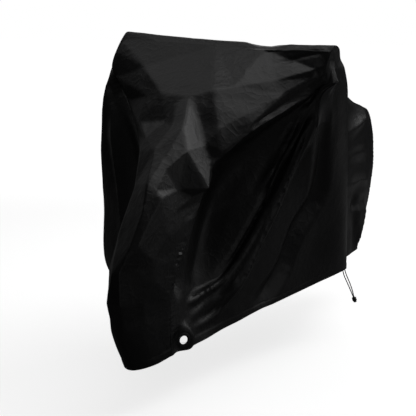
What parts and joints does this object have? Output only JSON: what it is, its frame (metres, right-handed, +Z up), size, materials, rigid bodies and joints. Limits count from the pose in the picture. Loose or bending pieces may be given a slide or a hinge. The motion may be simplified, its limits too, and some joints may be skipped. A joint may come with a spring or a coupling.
{
  "type": "bicycle cover",
  "caption": "Loose fitted bicycle cover of thin coated cloth, draped over the bars, saddle and wheels, with lock eyelets at the front hem and a drawcord at the side.",
  "frame": {"origin": "underside of the cloth over the middle of the handlebar, where the bicycle carries the cover; the ground is 1.004 m below it", "axes": "+Z up, -Y forward to the front wheel, +X to the near side, the side with the drawcord"},
  "size_m": [0.7435, 1.9429, 0.9191],
  "materials": {
    "coated_cloth": "black coated taffeta, satin",
    "woven_tape": "black woven tape, matt",
    "eyelet_black": "black moulded eyelet, semi-matt",
    "drawcord_black": "black braided cord, matt",
    "toggle_black": "black moulded toggle, semi-matt"
  },
  "bodies": {
    "root": {"long_strip": "coated_cloth", "near_panel": "coated_cloth", "far_panel": "coated_cloth", "near_eyelet_patch": "coated_cloth", "far_eyelet_patch": "coated_cloth", "near_eyelet": "eyelet_black", "far_eyelet": "eyelet_black", "grip_tape": "woven_tape", "drawcord_front": "drawcord_black", "drawcord_rear": "drawcord_black", "cord_toggle": "toggle_black"}
  },
  "joints": []
}
